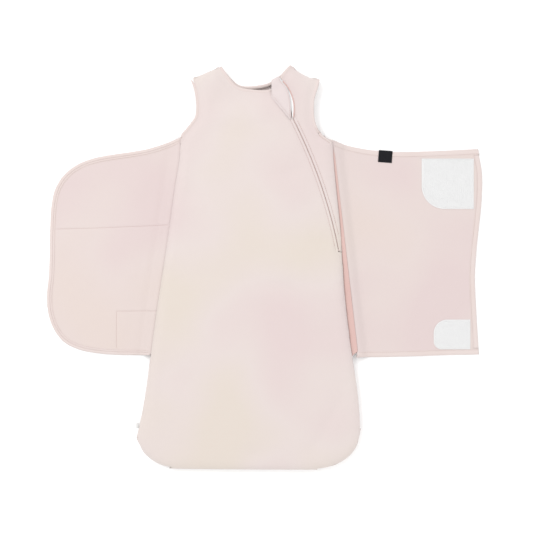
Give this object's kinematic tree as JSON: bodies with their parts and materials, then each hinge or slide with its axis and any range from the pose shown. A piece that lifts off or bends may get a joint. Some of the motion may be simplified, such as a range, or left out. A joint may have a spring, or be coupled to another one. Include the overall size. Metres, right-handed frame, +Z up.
{
  "type": "baby sleeping bag",
  "caption": "Sleeveless padded baby sleeping bag lying flat, with a curved front zip, a chin guard and swaddle wings that fold over the chest and close with hook and loop.",
  "frame": {"origin": "middle of the base of the whole object's box, on the surface that the bag lies on", "axes": "+X across the wings towards the square-ended wing, +Y towards the neck, +Z up through the front"},
  "size_m": [0.7592, 0.7026, 0.0287],
  "materials": {
    "shell_knit": "matt blush cotton jersey",
    "wing_knit": "matt blush cotton jersey, two layers",
    "binding_knit": "matt blush rib binding",
    "lining_knit": "matt off-white cotton jersey",
    "wadding": "soft polyester filling",
    "zip_tape": "woven tape",
    "zip_coil": "satin nylon coil",
    "zip_metal": "satin",
    "hook_tape": "fine nylon hooks",
    "loop_tape": "brushed loop",
    "black_tape": "plain woven tape",
    "label_tape": "plain satin tape"
  },
  "bodies": {
    "bag": {"back_shell": "shell_knit", "back_wadding": "wadding", "back_lining": "lining_knit", "front_shell": "shell_knit", "front_wadding": "wadding", "front_lining": "lining_knit", "side_panel_shell": "shell_knit", "side_panel_wadding": "wadding", "side_panel_lining": "lining_knit", "left_shoulder_seam": "shell_knit", "right_shoulder_seam": "shell_knit", "left_side_seam": "shell_knit", "right_side_seam": "shell_knit", "bottom_seam": "shell_knit", "left_armhole_binding": "binding_knit", "right_armhole_binding": "binding_knit", "neck_binding_back": "binding_knit", "neck_binding_front": "binding_knit", "neck_binding_right": "binding_knit", "neck_underlap": "lining_knit", "zip_tape_left": "zip_tape", "zip_tape_right": "zip_tape", "zip_coil_left": "zip_coil", "zip_coil_right": "zip_coil", "zip_top_stop_left": "zip_metal", "zip_top_stop_right": "zip_metal", "zip_bottom_stop": "zip_metal", "side_label": "label_tape", "care_label": "label_tape"},
    "slider": {"zip_slider": "zip_metal", "zip_pull": "zip_metal"},
    "chin_guard": {"chin_guard_front": "shell_knit", "chin_guard_lining": "lining_knit"},
    "left_wing": {"left_wing_front": "wing_knit", "left_wing_back": "wing_knit", "left_wing_binding": "binding_knit", "left_loop_panel_upper": "loop_tape", "left_loop_panel_lower": "loop_tape"},
    "right_wing": {"right_wing_front": "wing_knit", "right_wing_back": "wing_knit", "right_wing_top_hem": "wing_knit", "right_wing_end_band": "wing_knit", "right_wing_bottom_hem": "wing_knit", "hook_patch_upper": "hook_tape", "hook_patch_lower": "hook_tape", "black_tab": "black_tape"}
  },
  "joints": [
    {"name": "left_wing_fold", "type": "hinge", "parent": "bag", "child": "left_wing", "pos_m": [-0.1974, -0.1535, 0.0153], "axis": [0.1427, 0.9898, 0], "range_deg": [0, 179.5]},
    {"name": "right_wing_fold", "type": "hinge", "parent": "bag", "child": "right_wing", "pos_m": [0.117, 0.212, 0.0186], "axis": [0.1157, -0.9933, 0], "range_deg": [0, 178.5]},
    {"name": "chin_guard_fold", "type": "hinge", "parent": "bag", "child": "chin_guard", "pos_m": [0.0119, 0.2974, 0.0267], "axis": [0.636, -0.7717, 0], "range_deg": [0, 170]},
    {"name": "zip_slide", "type": "hinge", "parent": "bag", "child": "slider", "pos_m": [-0.73, -0.1404, 0], "axis": [0, 0, -1], "range_deg": [0, 17.6]}
  ]
}
